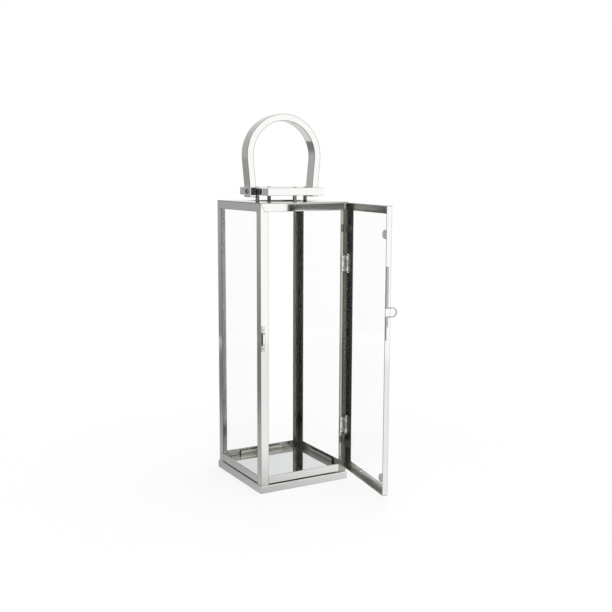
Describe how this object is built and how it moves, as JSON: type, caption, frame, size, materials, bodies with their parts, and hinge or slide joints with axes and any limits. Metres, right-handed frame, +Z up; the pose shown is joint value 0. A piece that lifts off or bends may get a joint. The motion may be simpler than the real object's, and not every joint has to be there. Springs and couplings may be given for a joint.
{
  "type": "candle lantern",
  "caption": "Tall square candle lantern of polished steel angle, with glass sides, a hinged glazed door, a vented roof with a raised cap and a bent tube handle.",
  "frame": {"origin": "centre of the flat underside of the base", "axes": "+Z up, -Y towards the door side, +X towards the side that the door is hinged on"},
  "size_m": [0.1551, 0.2995, 0.5692],
  "materials": {
    "polished_steel": "mirror-polished sheet steel",
    "fixings": "bright rivets, screws, pins and spacers",
    "clear_glass": "clear float glass",
    "rubber": "translucent grey bumper"
  },
  "bodies": {
    "lantern_body": {"base_pan": "polished_steel", "bottom_rail_back": "polished_steel", "bottom_rail_front": "polished_steel", "bottom_rail_left": "polished_steel", "bottom_rail_right": "polished_steel", "cap_rivets": "fixings", "cap_spacers": "fixings", "floor_plate": "polished_steel", "glazing_strip_bottom_back": "polished_steel", "glazing_strip_bottom_left": "polished_steel", "glazing_strip_bottom_right": "polished_steel", "glazing_strip_top_back": "polished_steel", "glazing_strip_top_left": "polished_steel", "glazing_strip_top_right": "polished_steel", "handle": "polished_steel", "handle_screws": "fixings", "hinge_leaf_post_lower": "polished_steel", "hinge_leaf_post_upper": "polished_steel", "hinge_pins": "fixings", "hinge_rivets": "fixings", "keeper_rivets": "fixings", "keeper_strap": "polished_steel", "pane_back": "clear_glass", "pane_left": "clear_glass", "pane_right": "clear_glass", "post_back_left": "polished_steel", "post_back_right": "polished_steel", "post_front_left": "polished_steel", "post_front_right": "polished_steel", "roof_plate": "polished_steel", "top_rail_back": "polished_steel", "top_rail_front": "polished_steel", "top_rail_left": "polished_steel", "top_rail_right": "polished_steel", "vent_cap": "polished_steel"},
    "door": {"door_pads": "rubber", "door_pane": "clear_glass", "door_rail_bottom": "polished_steel", "door_rail_top": "polished_steel", "door_stile_free": "polished_steel", "door_stile_hinge": "polished_steel", "hinge_leaf_door_lower": "polished_steel", "hinge_leaf_door_upper": "polished_steel", "latch_rivets": "fixings", "latch_strip": "polished_steel"}
  },
  "joints": [
    {"name": "door_hinge", "type": "hinge", "parent": "lantern_body", "child": "door", "pos_m": [0.0724, -0.07915, 0.2155], "axis": [0, 0, 1], "range_deg": [-81, 24]}
  ]
}
